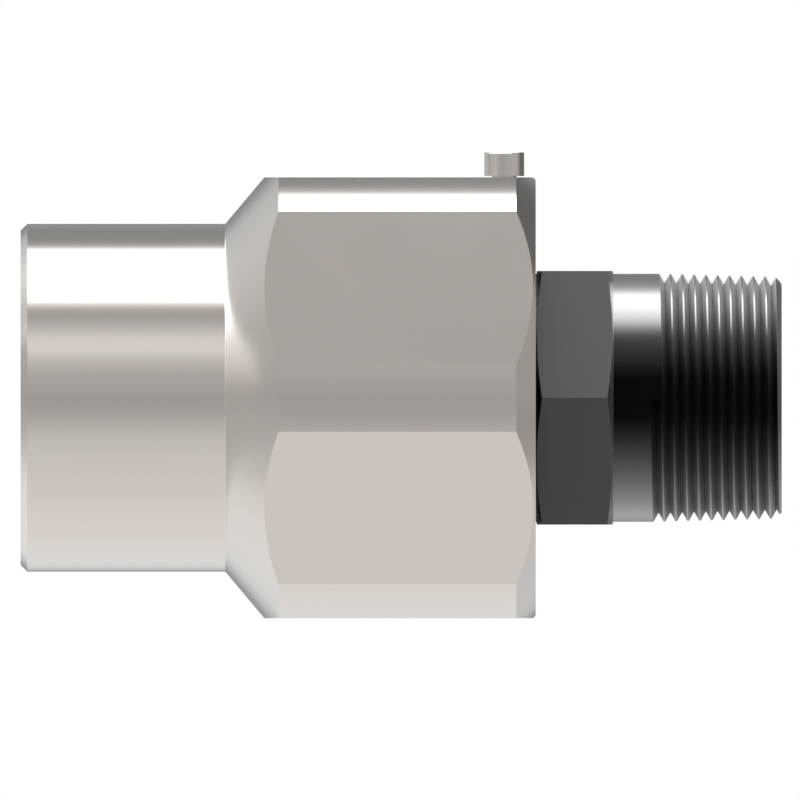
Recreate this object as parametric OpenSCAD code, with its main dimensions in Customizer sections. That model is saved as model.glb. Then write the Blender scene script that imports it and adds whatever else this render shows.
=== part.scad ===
// In-line swivel fitting for 1 1/2 inch pipe, in millimetres.
// A hexagon housing with a female port holds a stem with a male taper thread.
// The stem turns on one full row of balls, loaded through the screw hole in the top flat.
// The swivel axis is +X, from the centre of the port's face, at the origin, to the thread.
// +Z is up, square to one flat of each hexagon.

/* [Housing] */
// Diameter of the round hub round the female port
hub_d = 68; // [62:0.5:74]
// Length of the hub, from the port's face to the cone
hub_len = 40; // [34:0.5:44]
// Chamfer on the hub's rim, at 45 degrees
hub_chamfer = 1.3; // [0.5:0.1:3]
// Angle of the cone between hub and hexagon, measured from the swivel axis
cone_angle = 50; // [40:1:65]
// Width of the housing's hexagon across its flats
hex_af = 86.2; // [80:0.2:91]
// Diameter to which the hexagon's corners are turned
corner_d = 92.8; // [92:0.1:98]
// Length of the whole housing
housing_len = 100.7; // [96:0.1:112]
// Chamfer on the hexagon's open end, at 45 degrees
end_chamfer = 3.8; // [1:0.1:6]

/* [Female port] */
// Minor diameter of the port's pipe thread
port_d = 44.8; // [42:0.1:48]
// Depth of the port
port_depth = 26; // [20:0.5:30]
// Diameter of the flow passage through housing and stem
flow_d = 38.1; // [32:0.1:40]

/* [Swivel bores] */
// Diameter of the stem's nose, where the main seal runs
nose_d = 50; // [48:0.1:53]
// Radial step from the stem's nose up to its barrel
barrel_step = 3.6; // [3:0.1:5]
// Radial running clearance between stem and housing
running_gap = 0.08; // [0.05:0.01:0.1]
// Distance from the hub's end to the shoulder ahead of the nose
shoulder_setback = 2; // [1:0.5:3]
// How far the barrel's end stands back from the housing's open face
barrel_recess = 0.3; // [0.2:0.1:1]
// Gap between the stem and each shoulder that it faces inside the housing
shoulder_gap = 0.5; // [0.2:0.1:1]
// Gap between the stem's hexagon and the housing's open face
face_gap = 0.1; // [0.05:0.05:0.4]
// Length of the lead-in taper on the nose
nose_lead_len = 3; // [1:0.5:4]
// Depth of the lead-in taper on the nose
nose_lead_depth = 1; // [0.5:0.1:1.5]
// Small chamfer on bore ends, at 45 degrees
edge_break = 0.5; // [0.2:0.1:0.8]

/* [Ball race] */
// Diameter of one bearing ball
ball_d = 3.969; // [3.2:0.001:4.4]
// Clearance between a ball and its groove
ball_gap = 0.035; // [0.02:0.005:0.06]
// Land between the ball race and the dust O-ring's groove
race_land = 1; // [0.6:0.1:2]
// Land between the dust O-ring's groove and the barrel's end
end_land = 0.51; // [0.4:0.01:1.5]

/* [Loading screw] */
// Diameter of the screw's thread
screw_d = 4.83; // [4.5:0.01:6]
// Radial clearance of the screw in its hole
screw_gap = 0.03; // [0.02:0.01:0.1]
// Diameter of the screw's head
screw_head_d = 7.78; // [7.2:0.01:9]
// Height of the screw's head
screw_head_h = 4.63; // [4:0.01:6]
// Rounding of the head's top edge
screw_head_round = 0.25; // [0.1:0.05:0.5]
// Height at which the head stands clear of the flat
screw_standoff = 0.25; // [0.1:0.05:0.6]
// Width of the hexagon socket across its flats
socket_af = 3.97; // [3:0.01:4.5]
// Depth of the hexagon socket
socket_depth = 2.4; // [1.5:0.1:3]
// Depth of the shallow dip across the head's top
dip_depth = 0.3; // [0.1:0.05:0.5]
// How far the dip reaches from the screw's axis towards the port
dip_port_side = 3.1; // [2:0.1:3.4]
// How far the dip reaches from the screw's axis towards the thread
dip_thread_side = 1.5; // [1:0.1:3.4]
// Length of the ramp at the dip's port side
dip_ramp = 0.25; // [0.1:0.05:0.8]

/* [Seals and guides] */
// Section of the main O-ring before it is squeezed
main_oring_section = 3.53; // [3.3:0.01:3.9]
// Radial depth of the main seal's gland, outside the nose
gland_depth = 2.9; // [2.7:0.05:3.2]
// Thickness of one backup ring
backup_t = 1.4; // [1:0.1:1.6]
// Side play of the seal stack at each end of its gland
stack_play = 0.4; // [0.2:0.1:0.8]
// Distance from the nose's shoulder to the gland
gland_inset = 5; // [4:0.5:8]
// Land between the gland and the nose guide ring's groove
seal_land = 3; // [2:0.5:5]
// Radial thickness of the guide rings
guide_t = 2.5; // [2:0.1:3]
// Width of the guide ring round the nose
nose_guide_w = 5.6; // [4:0.1:6]
// Width of the guide ring round the barrel
barrel_guide_w = 9.7; // [6:0.1:12]
// Distance from each guide ring's groove to the barrel's shoulder
guide_inset = 1.8; // [1.2:0.1:3]
// Width of the slanted split in a guide ring
guide_split = 1.5; // [0.5:0.1:3]
// Section of the dust O-ring before it is squeezed
dust_oring_section = 1.78; // [1.6:0.01:2]
// Radial depth of the dust O-ring's groove in the stem
dust_groove_depth = 1.35; // [1.3:0.05:1.5]
// Side play of a ring in its groove
ring_play = 0.1; // [0.05:0.05:0.2]
// Clearance of a ring to the bottom of its groove
ring_seat_gap = 0.02; // [0.01:0.01:0.05]
// Clearance of a ring to the surface that runs past it
ring_run_gap = 0.04; // [0.02:0.01:0.06]

/* [Stem] */
// Width of the stem's hexagon across its flats
stem_hex_af = 49.6; // [49:0.1:56]
// Length of the stem's hexagon
stem_hex_len = 15.05; // [10:0.05:24]
// Angle of the hexagon's end chamfers, measured from its end faces
stem_hex_chamfer_angle = 15; // [10:1:30]
// Diameter of the plain shank
shank_d = 48.5; // [46:0.1:48.8]
// Length of the plain shank
shank_len = 8.45; // [4:0.05:16]
// Length of the male thread
thread_len = 24.5; // [16:0.1:32]
// Distance from one thread crest to the next
thread_pitch = 2.309; // [1.8:0.001:2.6]
// Depth of the thread, as a share of its pitch
thread_depth_ratio = 0.77; // [0.6:0.01:0.8]
// Flat at the bottom of each thread groove
thread_root_flat = 0.1; // [0.05:0.01:0.15]
// Angle between the two flanks of a thread groove
thread_angle = 60; // [50:1:60]
// Taper of the thread, as loss of diameter for each unit of length
thread_taper = 0.0625; // [0.03:0.0005:0.08]
// Chamfer on the thread's end, at 45 degrees
thread_chamfer = 1.2; // [0.5:0.1:2]

/* [Hidden] */
// Fineness of round shapes in the preview
$fn = 96;
// How far a cut runs past the face it opens
cut = 1;

// Radii that pieces share
hub_r = hub_d / 2;
corner_r = corner_d / 2;
port_r = port_d / 2;
flow_r = flow_d / 2;
nose_r = nose_d / 2;
barrel_r = nose_r + barrel_step;
nose_bore_r = nose_r + running_gap;
barrel_bore_r = barrel_r + running_gap;
shank_r = shank_d / 2;

// Places along the swivel axis
cone_end_x = hub_len + (corner_r - hub_r) / tan(cone_angle);
shoulder_x = hub_len + shoulder_setback;
nose_x = shoulder_x + shoulder_gap;
barrel_end_x = housing_len - barrel_recess;
stem_hex_x = housing_len + face_gap;
shank_x = stem_hex_x + stem_hex_len;
thread_x = shank_x + shank_len;
stem_end_x = thread_x + thread_len;

// Dust seal: a squeezed O-ring in a groove of the barrel, next to its end
dust_seal_h = dust_groove_depth + running_gap - ring_seat_gap - ring_run_gap;
dust_seal_w = squeezed_width(dust_oring_section, dust_seal_h);
dust_groove_w = dust_seal_w + 2 * ring_play;
dust_groove_x = barrel_end_x - end_land - dust_groove_w;
dust_groove_r = barrel_r - dust_groove_depth;

// Ball race: the row's pitch circle lies midway between barrel and bore
race_pitch_r = barrel_r + running_gap / 2;
groove_r = ball_d / 2 + ball_gap;
race_x = dust_groove_x - race_land - groove_r;
ball_count = floor(180 / asin(ball_d / (2 * race_pitch_r)));

// Loading screw, on the top flat straight above the race
flat_z = hex_af / 2;
screw_tip_z = race_pitch_r + groove_r;
screw_head_z = flat_z + screw_standoff;
screw_top_z = screw_head_z + screw_head_h;
screw_chamfer = 0.4;

// Main seal: a squeezed O-ring between two backup rings, in a gland of the housing
gland_r = nose_bore_r + gland_depth;
main_seal_h = gland_depth + running_gap - ring_seat_gap - ring_run_gap;
main_seal_w = squeezed_width(main_oring_section, main_seal_h);
gland_x = shoulder_x + gland_inset;
gland_w = main_seal_w + 2 * (backup_t + stack_play);
gland_mid_x = gland_x + gland_w / 2;

// Guide rings: one in a groove of the nose's bore, one in a groove of the barrel
nose_guide_x = gland_x + gland_w + seal_land;
barrel_bore_x = nose_guide_x + nose_guide_w + 2 * ring_play + guide_inset;
barrel_x = barrel_bore_x + shoulder_gap;
barrel_guide_x = barrel_x + guide_inset;
guide_split_angle = 30;

// Thread: grooves cut into a tapered blank, one each pitch
thread_depth = thread_depth_ratio * thread_pitch;
thread_half_angle = thread_angle / 2;
thread_mouth_w = thread_root_flat + 2 * thread_depth * tan(thread_half_angle);
thread_first_x = thread_x + thread_mouth_w / 2;
thread_grooves = ceil((stem_end_x - thread_first_x) / thread_pitch);

function ball_name(i) = str("ball_", i < 10 ? "0" : "", i);

// Width of an O-ring's section once it is squeezed to a height: the area stays the same
function squeezed_width(section, height) =
    height + PI * (pow(section, 2) - pow(height, 2)) / (4 * height);

// Radius of the thread's crests at a place along the axis
function crest_r(x) = shank_r - (x - thread_x) * thread_taper / 2;

// Turns a profile round the swivel axis; its points are [radius, place along the axis]
module turned() {
    rotate([0, 90, 0]) rotate_extrude() children();
}

// Hexagon bar along the swivel axis, with flats at top and bottom
module hexagon_bar(across_flats, from_x, to_x) {
    translate([from_x, 0, 0])
        rotate([0, 90, 0])
            rotate(30)
                cylinder(d = across_flats / cos(30), h = to_x - from_x, $fn = 6);
}

// Section of a groove or bore, open towards the swivel axis
module groove_section(bottom_r, from_x, width) {
    translate([0, from_x]) square([bottom_r, width]);
}

// Round section of the ball race, shared by housing and stem
module race_section() {
    translate([race_pitch_r, race_x]) circle(r = groove_r);
}

// Section of an O-ring squeezed between two radii, with bulging sides
module oring_section(inner_r, mid_x, width, height) {
    round_r = height / 2;
    flat = width - height;
    translate([inner_r + round_r, mid_x]) {
        translate([-round_r, -flat / 2]) square([height, flat]);
        for (side = [-1, 1]) translate([0, side * flat / 2]) circle(r = round_r);
    }
}

// Section of a flat ring
module flat_ring_section(inner_r, outer_r, from_x, width) {
    translate([inner_r, from_x]) square([outer_r - inner_r, width]);
}

module housing_outside() {
    intersection() {
        turned() polygon([
            [0, 0],
            [hub_r - hub_chamfer, 0],
            [hub_r, hub_chamfer],
            [hub_r, hub_len],
            [corner_r, cone_end_x],
            [corner_r, housing_len - end_chamfer],
            [corner_r - end_chamfer, housing_len],
            [0, housing_len]
        ]);
        hexagon_bar(hex_af, -cut, housing_len + cut);
    }
}

// Port, flow passage and swivel bores, with the grooves that the housing carries
module housing_bores() {
    polygon([
        [0, -cut],
        [port_r, -cut],
        [port_r, port_depth],
        [flow_r, port_depth + port_r - flow_r],
        [flow_r, shoulder_x],
        [nose_bore_r, shoulder_x],
        [nose_bore_r, barrel_bore_x - edge_break],
        [nose_bore_r + edge_break, barrel_bore_x],
        [barrel_bore_r, barrel_bore_x],
        [barrel_bore_r, housing_len - edge_break],
        [barrel_bore_r + edge_break + cut, housing_len + cut],
        [0, housing_len + cut]
    ]);
    groove_section(gland_r, gland_x, gland_w);
    groove_section(nose_r + guide_t + ring_run_gap + ring_seat_gap,
        nose_guide_x, nose_guide_w + 2 * ring_play);
    race_section();
}

module housing() {
    color("silver")
        difference() {
            housing_outside();
            turned() housing_bores();
            translate([race_x, 0, barrel_bore_r - cut])
                cylinder(r = screw_d / 2 + screw_gap, h = flat_z - barrel_bore_r + 2 * cut);
        }
}

// Outline of the stem: nose, barrel, core of the hexagon, shank and thread blank
module stem_outline() {
    polygon([
        [0, nose_x],
        [nose_r - nose_lead_depth, nose_x],
        [nose_r, nose_x + nose_lead_len],
        [nose_r, barrel_x],
        [barrel_r - edge_break, barrel_x],
        [barrel_r, barrel_x + edge_break],
        [barrel_r, barrel_end_x - edge_break],
        [barrel_r - edge_break, barrel_end_x],
        [shank_r, barrel_end_x],
        [shank_r, thread_x],
        [crest_r(stem_end_x - thread_chamfer), stem_end_x - thread_chamfer],
        [crest_r(stem_end_x) - thread_chamfer, stem_end_x],
        [0, stem_end_x]
    ]);
}

// Hexagon for the wrench, with both ends turned to a flat cone
module stem_hexagon() {
    far_r = stem_hex_af / 2 / cos(30) + cut;
    chamfer_len = (far_r - shank_r) * tan(stem_hex_chamfer_angle);
    intersection() {
        hexagon_bar(stem_hex_af, stem_hex_x, shank_x);
        turned() polygon([
            [0, stem_hex_x],
            [shank_r, stem_hex_x],
            [far_r, stem_hex_x + chamfer_len],
            [far_r, shank_x - chamfer_len],
            [shank_r, shank_x],
            [0, shank_x]
        ]);
    }
}

// Thread grooves as rings: the helix itself is left to the surface finish
module thread_grooves() {
    for (i = [0:thread_grooves - 1]) {
        x = thread_first_x + i * thread_pitch;
        root_r = crest_r(x) - thread_depth;
        mouth = thread_mouth_w / 2 + cut * tan(thread_half_angle);
        polygon([
            [root_r, x - thread_root_flat / 2],
            [root_r, x + thread_root_flat / 2],
            [root_r + thread_depth + cut, x + mouth],
            [root_r + thread_depth + cut, x - mouth]
        ]);
    }
}

// Flow passage of the stem, with its ends broken
module stem_bore() {
    polygon([
        [0, nose_x - cut],
        [flow_r + edge_break + cut, nose_x - cut],
        [flow_r, nose_x + edge_break],
        [flow_r, stem_end_x - edge_break],
        [flow_r + edge_break + cut, stem_end_x + cut],
        [0, stem_end_x + cut]
    ]);
}

module stem() {
    color("dimgray")
        difference() {
            union() {
                turned() difference() {
                    stem_outline();
                    race_section();
                    translate([barrel_r - guide_t, barrel_guide_x])
                        square([guide_t + cut, barrel_guide_w + 2 * ring_play]);
                    translate([dust_groove_r, dust_groove_x])
                        square([dust_groove_depth + cut, dust_groove_w]);
                    thread_grooves();
                }
                stem_hexagon();
            }
            turned() stem_bore();
        }
}

// Profile of the screw: tip, shank and head with a rounded top edge
module screw_profile() {
    head_r = screw_head_d / 2;
    round_z = screw_top_z - screw_head_round;
    polygon([
        [0, screw_tip_z],
        [screw_d / 2 - screw_chamfer, screw_tip_z],
        [screw_d / 2, screw_tip_z + screw_chamfer],
        [screw_d / 2, screw_head_z],
        [head_r, screw_head_z],
        [head_r, round_z],
        [head_r - screw_head_round, round_z],
        [head_r - screw_head_round, screw_top_z],
        [0, screw_top_z]
    ]);
    translate([head_r - screw_head_round, round_z]) circle(r = screw_head_round);
}

// Shallow dip across the head's top, with a ramp on the port's side
module screw_dip() {
    floor_z = screw_top_z - dip_depth;
    translate([0, screw_head_d / 2 + cut, 0])
        rotate([90, 0, 0])
            linear_extrude(screw_head_d + 2 * cut)
                polygon([
                    [-dip_port_side, screw_top_z],
                    [dip_ramp - dip_port_side, floor_z],
                    [dip_thread_side, floor_z],
                    [dip_thread_side, screw_top_z + cut],
                    [-dip_port_side, screw_top_z + cut]
                ]);
}

module loading_screw() {
    color("darkgray")
        translate([race_x, 0, 0])
            difference() {
                rotate_extrude() screw_profile();
                screw_dip();
                translate([0, 0, screw_top_z - socket_depth])
                    cylinder(d = socket_af / cos(30), h = socket_depth + cut, $fn = 6);
            }
}

// One bearing ball; the first lies at the top, under the loading screw
module ball(i) {
    color("gainsboro")
        rotate([-360 * (i - 1) / ball_count, 0, 0])
            translate([race_x, 0, race_pitch_r])
                sphere(d = ball_d);
}

module main_oring() {
    color("black")
        turned() oring_section(nose_r + ring_run_gap, gland_mid_x, main_seal_w, main_seal_h);
}

// Backup ring beside the main O-ring; side is -1 towards the port, 1 towards the thread
module backup_ring(side) {
    near_x = main_seal_w / 2 + ring_seat_gap;
    from_x = gland_mid_x + (side > 0 ? near_x : -near_x - backup_t);
    turned() flat_ring_section(nose_r + ring_run_gap, gland_r - ring_seat_gap, from_x, backup_t);
}

module backup_ring_port_side() {
    color("ivory") backup_ring(-1);
}

module backup_ring_thread_side() {
    color("ivory") backup_ring(1);
}

// Guide ring, split by a slanted cut at the bottom so that it can be sprung into its groove
module guide_ring(inner_r, from_x, width) {
    slot_len = width / cos(guide_split_angle) + 2 * (guide_split + cut);
    difference() {
        turned() flat_ring_section(inner_r, inner_r + guide_t, from_x, width);
        translate([from_x + width / 2, 0, -inner_r - guide_t / 2])
            rotate(guide_split_angle)
                cube([slot_len, guide_split, guide_t + 2 * cut], center = true);
    }
}

module nose_guide_ring() {
    color("tan") guide_ring(nose_r + ring_run_gap, nose_guide_x + ring_play, nose_guide_w);
}

module barrel_guide_ring() {
    color("tan")
        guide_ring(barrel_r - guide_t + ring_seat_gap, barrel_guide_x + ring_play, barrel_guide_w);
}

module dust_oring() {
    color("black")
        turned() oring_section(dust_groove_r + ring_seat_gap, dust_groove_x + dust_groove_w / 2,
            dust_seal_w, dust_seal_h);
}

housing();
stem();
loading_screw();
main_oring();
backup_ring_port_side();
backup_ring_thread_side();
nose_guide_ring();
barrel_guide_ring();
dust_oring();
for (i = [1:ball_count])
    ball(i);
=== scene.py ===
"""Visual model of an in-line swivel fitting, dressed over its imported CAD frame.

Sizes are in millimetres, as in the part's source, and the meshes are in metres. The swivel
axis is X. A turn is an angle round that axis, from the top (+Z) towards the viewer (-Y).
"""
import logging
from collections.abc import Callable, Iterable, Sequence
from dataclasses import dataclass, replace
from enum import Enum
from functools import cache

import bmesh
import bpy
import numpy as np
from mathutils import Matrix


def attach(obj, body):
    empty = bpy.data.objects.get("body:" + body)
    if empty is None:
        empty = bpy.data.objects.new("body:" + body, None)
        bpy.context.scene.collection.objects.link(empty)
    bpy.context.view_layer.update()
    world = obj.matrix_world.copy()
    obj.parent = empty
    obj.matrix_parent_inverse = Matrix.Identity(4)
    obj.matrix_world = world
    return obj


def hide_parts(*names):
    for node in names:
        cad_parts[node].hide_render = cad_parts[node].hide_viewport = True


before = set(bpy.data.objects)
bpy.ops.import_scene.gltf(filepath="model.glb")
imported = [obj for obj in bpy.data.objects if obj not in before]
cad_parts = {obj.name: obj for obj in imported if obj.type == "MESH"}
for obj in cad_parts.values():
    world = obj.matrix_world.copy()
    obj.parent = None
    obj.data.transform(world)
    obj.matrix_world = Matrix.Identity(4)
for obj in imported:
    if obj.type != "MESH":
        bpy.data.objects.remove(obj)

LOG = logging.getLogger("swivel_fitting")
MM = 0.001
FULL_TURN = 2 * np.pi
SHARP_ANGLE = np.radians(32)
EVEN_STEPS, HOLE_STEPS, SCREW_STEPS = 240, 72, 96  # columns in a full turn
LEAST_TURN = 0.15  # degrees from an even column to a crease
CREASE_WIDTH = 0.02  # degrees
MERGE_DIST = 2e-7  # metres
REACH_SHARE = 0.24  # most of the shorter side beside an edge that its rounding may take
RIM_WEAR = 0.6  # arris where a rounding meets its faces

Chart = tuple[tuple[float, float], ...]
Color = tuple[float, float, float]
Curve = Callable[[np.ndarray], np.ndarray]
Object, Mesh, Material = bpy.types.Object, bpy.types.Mesh, bpy.types.Material
Node, Socket, Tree = bpy.types.Node, bpy.types.NodeSocket, bpy.types.NodeTree


# ---------------------------------------------------------------- meshes


@dataclass(frozen=True)
class Corner:
    """One corner of a turned profile.

    Attributes:
        x: Place along the swivel axis, one number or one for each turn.
        r: Radius there, one number or one for each turn.
        ease: How far the rounding of the edge reaches from the corner.
    """

    x: float | np.ndarray
    r: float | np.ndarray
    ease: float = 0.0


@dataclass(frozen=True)
class Rows:
    """Rows of profile points for every turn.

    Attributes:
        xr: Array of turns by points by 2, the place along the axis and the radius.
        arris: One number for each point, 1 on a rounded edge and 0 on plain faces.
        pitch_rows: Points in one pitch of a screw thread, or 0 for plain turned rows.
    """

    xr: np.ndarray
    arris: np.ndarray
    pitch_rows: int = 0


def turn_angles(steps: int, creases: Iterable[float]) -> np.ndarray:
    """Turns for the columns of a mesh: even steps, and one at each crease.

    Args:
        steps: Number of even steps in a full turn.
        creases: Turns, in degrees, at which the shape changes at once.

    Returns:
        Rising angles in radians, each once.
    """
    even = np.arange(steps) * 360 / steps
    near = np.asarray(list(creases), float) % 360
    apart = np.abs((even[:, None] - near + 180) % 360 - 180).min(axis=1, initial=360)
    kept = np.concatenate([even[apart > LEAST_TURN], near])
    return np.radians(np.unique(np.round(kept, 4)))


def eased_rows(corners: Sequence[Corner], turns: int, curve: int = 3) -> Rows:
    """Places the corners of an open profile for every turn, and rounds the eased ones.

    A rounded corner is the parabola that leaves one side a reach before the corner and joins
    the other a reach after it. One more point lies a further reach out on each side, so that
    the face beside the edge is shaded flat.

    Args:
        corners: The profile's corners in order.
        turns: Number of columns.
        curve: Number of steps in a rounded corner.

    Returns:
        The rows of the whole profile.
    """
    spots = np.stack([
        np.stack([np.broadcast_to(c.x, turns), np.broadcast_to(c.r, turns)], axis=1)
        for c in corners
    ]).astype(float)
    points: list[np.ndarray] = []
    arris: list[float] = []
    for k, corner in enumerate(corners):
        here = spots[k]
        if corner.ease == 0 or k in (0, len(corners) - 1):
            points.append(here)
            arris.append(0.0)
            continue
        back, ahead = spots[k - 1] - here, spots[k + 1] - here
        back_len = np.linalg.norm(back, axis=1, keepdims=True)
        ahead_len = np.linalg.norm(ahead, axis=1, keepdims=True)
        reach = np.minimum(corner.ease, REACH_SHARE * np.minimum(back_len, ahead_len))
        back, ahead = back / back_len * reach, ahead / ahead_len * reach
        points.append(here + 2 * back)
        arris.append(0.0)
        for s in np.linspace(0, 1, curve + 1):
            points.append(here + (1 - s) ** 2 * back + s**2 * ahead)
            arris.append(1.0 if 0 < s < 1 else RIM_WEAR)
        points.append(here + 2 * ahead)
        arris.append(0.0)
    return Rows(np.stack(points, axis=1), np.asarray(arris))


def groove(x: float, width: float, rim_r: float, floor_r: float, rim_ease: float,
           floor_ease: float) -> list[Corner]:
    """The four corners of a square groove, in rising x."""
    return [Corner(x, rim_r, rim_ease), Corner(x, floor_r, floor_ease),
            Corner(x + width, floor_r, floor_ease), Corner(x + width, rim_r, rim_ease)]


@dataclass(frozen=True)
class Race:
    """Ball race, whose two grooves have the same round section.

    Attributes:
        x: Middle of the balls along the swivel axis.
        pitch_r: Radius of the circle of the balls' centres.
        groove_r: Radius of a groove's section.
        steps: Number of steps across a groove.
    """

    x: float = 94.56
    pitch_r: float = 28.64
    groove_r: float = 2.0195
    steps: int = 14

    def corners(self, rim_r: float) -> list[Corner]:
        """Corners of the groove that opens at rim_r, in rising x.

        They lie at x + groove_r cos a and pitch_r + groove_r sin a, where a runs over the
        part of the circle beyond the rim.
        """
        side = 1 if rim_r > self.pitch_r else -1
        half = np.degrees(np.arccos(side * (rim_r - self.pitch_r) / self.groove_r))
        angles = np.radians(np.linspace(side * (90 + half), side * (90 - half),
                                        self.steps + 1))
        return [Corner(self.x + self.groove_r * np.cos(a),
                       self.pitch_r + self.groove_r * np.sin(a)) for a in angles]


RACE = Race()


def with_crossings(spare: np.ndarray, *rows: np.ndarray) -> list[np.ndarray]:
    """Adds a point after each one: where spare crosses 0 before the next, or else halfway.

    So a cut's edge is exact. The last point has no successor, and is doubled to keep every
    pitch alike.

    Args:
        spare: What each point has left above the cut, turns by points.
        rows: Arrays of the same shape to add points to.

    Returns:
        The arrays with twice the points.
    """
    here, after = spare[:, :-1], spare[:, 1:]
    crossing = here * after < 0
    share = np.where(crossing, here / np.where(crossing, here - after, 1), 0.5)
    longer: list[np.ndarray] = []
    for v in rows:
        added = v[:, :-1] + share * (v[:, 1:] - v[:, :-1])
        added = np.concatenate([added, v[:, -1:]], axis=1)
        longer.append(np.stack([v, added], axis=2).reshape(len(v), -1))
    return longer


@dataclass(frozen=True)
class Thread:
    """Sizes of a screw thread whose grooves have straight flanks.

    Attributes:
        pitch: Distance between grooves.
        depth: Depth of a full groove.
        half_angle: Angle of a flank from the radius, in degrees.
        root_flat: Width of a groove's bottom.
        first_x: Middle of groove 0 at the top of the first turn.
        grooves: Range of groove numbers.
        start_turn: Turns after groove 0 at which the cut starts.
        end_turn: Turns after groove 0 at which the cut has faded out.
        start_ramp: Turns that the cut takes to reach full depth.
        end_ramp: Turns that the cut takes to fade out.
        inside: True for a nut's thread, cut outwards.
    """

    pitch: float
    depth: float
    half_angle: float
    root_flat: float
    first_x: float
    grooves: range
    start_turn: float
    end_turn: float
    start_ramp: float = 0.03
    end_ramp: float = 0.03
    inside: bool = False

    def rows(self, turns: np.ndarray, crest_r: Curve, limit_r: Curve, from_x: float,
             to_x: float) -> Rows:
        """Rows of the thread, each following the helix.

        The middle of groove k lies at first_x + pitch * (k + turn / full turn). Points past
        either end are drawn back to it, and limit_r then cuts the thread as a chamfer does.

        Args:
            turns: The columns' turns in radians.
            crest_r: Function of x that gives the radius of the crests.
            limit_r: Function of x that gives the chamfer's radius.
            from_x: Where the thread starts.
            to_x: Where the thread ends.

        Returns:
            Rows with the number of points in one pitch.
        """
        sign = 1 if self.inside else -1
        k = np.asarray(self.grooves, float)
        along = k[None, :] + turns[:, None] / FULL_TURN
        cut = np.clip((along - self.start_turn) / self.start_ramp, 0, 1)
        cut = cut * np.clip((self.end_turn - along) / self.end_ramp, 0, 1)
        depth = self.depth * cut[..., None]
        steep = np.tan(np.radians(self.half_angle))
        flat = self.root_flat / 2
        half = flat + depth * steep
        # A groove's four points: the side of its middle, and 1 at a crest or 0 at the root.
        side, wide = np.array([-1.0, -1.0, 1.0, 1.0]), np.array([1.0, 0.0, 0.0, 1.0])
        offset = side * (flat + wide * (half - flat))
        x = self.first_x + self.pitch * along[..., None] + offset
        clamped = np.clip(x, from_x, to_x)
        # A point drawn back to an end takes the groove's own depth there.
        room = np.maximum(0, half - np.abs(clamped - (x - offset)))
        there = np.minimum(room / steep, depth)
        deep = np.where(x == clamped, depth * (1 - wide), there)
        count = k.size * side.size
        x, deep = clamped.reshape(turns.size, count), deep.reshape(turns.size, count)
        r = crest_r(x) + sign * deep
        x, r = with_crossings(sign * (r - limit_r(x)), x, r)
        r = np.maximum(r, limit_r(x)) if self.inside else np.minimum(r, limit_r(x))
        return Rows(np.stack([x, r], axis=2), np.zeros(x.shape[1]), 2 * side.size)


def read_vectors(items: bpy.types.bpy_prop_collection, key: str) -> np.ndarray:
    """Reads one vector of every vertex or face of a mesh, a row for each."""
    values = np.empty(len(items) * 3)
    items.foreach_get(key, values)
    return values.reshape(-1, 3)


def axis_distance(points: np.ndarray) -> np.ndarray:
    """Distance of points from the swivel axis."""
    return np.hypot(points[:, 1], points[:, 2])


def place(name: str, data: bpy.types.ID) -> Object:
    """New object with the given data, linked to the scene."""
    obj = bpy.data.objects.new(name, data)
    bpy.context.scene.collection.objects.link(obj)
    return obj


def signed_volume(verts: np.ndarray, quads: np.ndarray) -> float:
    """Volume inside a closed mesh, below zero where its faces point inwards."""
    a, b, c, d = (verts[quads[:, i]] for i in range(4))
    cones = np.einsum("ij,ij->i", a, np.cross(b, c)) + np.einsum("ij,ij->i", a, np.cross(c, d))
    return float(cones.sum() / 6)


def turned_mesh(name: str, turns: np.ndarray, parts: Sequence[Rows], ring: bool,
                axis: str = "x") -> Object:
    """Closed mesh from profile rows carried round an axis.

    A point with radius r at turn t lies at (x, -r sin t, r cos t). Column i joins column
    i + 1, and the last joins the first. There the rows of a thread join those one pitch on,
    and a fan of triangles closes the wedge that the helix leaves at its start.

    Args:
        name: Name of the object.
        turns: The columns' turns in radians.
        parts: Rows in order along the profile.
        ring: True if the profile is a closed loop, False if it starts and ends on the axis.
        axis: "x" for the swivel axis, or "z" for a piece that stands upright.

    Returns:
        The new object, linked to the scene, with its arris attribute and sharp edges set.
    """
    xr = np.concatenate([p.xr for p in parts], axis=1)
    arris = np.concatenate([p.arris for p in parts])
    columns, count = xr.shape[:2]
    x, r = xr[..., 0] * MM, xr[..., 1] * MM
    s, c = np.sin(turns)[:, None], np.cos(turns)[:, None]
    if axis == "x":
        verts = np.stack([x, -r * s, r * c], axis=2).reshape(-1, 3)
    else:
        verts = np.stack([r * c, r * s, x], axis=2).reshape(-1, 3)
    joins = np.arange(count)
    fans: list[np.ndarray] = []
    skipped: list[int] = []
    start = 0
    last_column = (columns - 1) * count
    for part in parts:
        size, step = part.xr.shape[1], part.pitch_rows
        if step:
            inside = np.arange(start, start + size)
            joins[inside] = np.minimum(inside + step, start + size - 1)
            run = np.arange(start, start + step)
            apex = np.full(step, last_column + start)
            fans.append(np.stack([apex, run + 1, run, run], axis=1))
            skipped.append(start - 1)
        start += size
    here = np.arange(count if ring else count - 1)
    ahead = (here + 1) % count
    base = (np.arange(columns - 1) * count)[:, None]
    body = np.stack([base + here, base + ahead, base + count + ahead, base + count + here],
                    axis=2).reshape(-1, 4)
    seam_to, seam_ahead = joins[here].copy(), joins[ahead].copy()
    for k in skipped:
        seam_ahead[here == k % count] = (k + 1) % count
    seam = np.stack([last_column + here, last_column + ahead, seam_ahead, seam_to], axis=1)
    quads = np.concatenate([body, seam] + fans)
    return mesh_object(name, verts, quads, np.tile(arris, columns))


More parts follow.
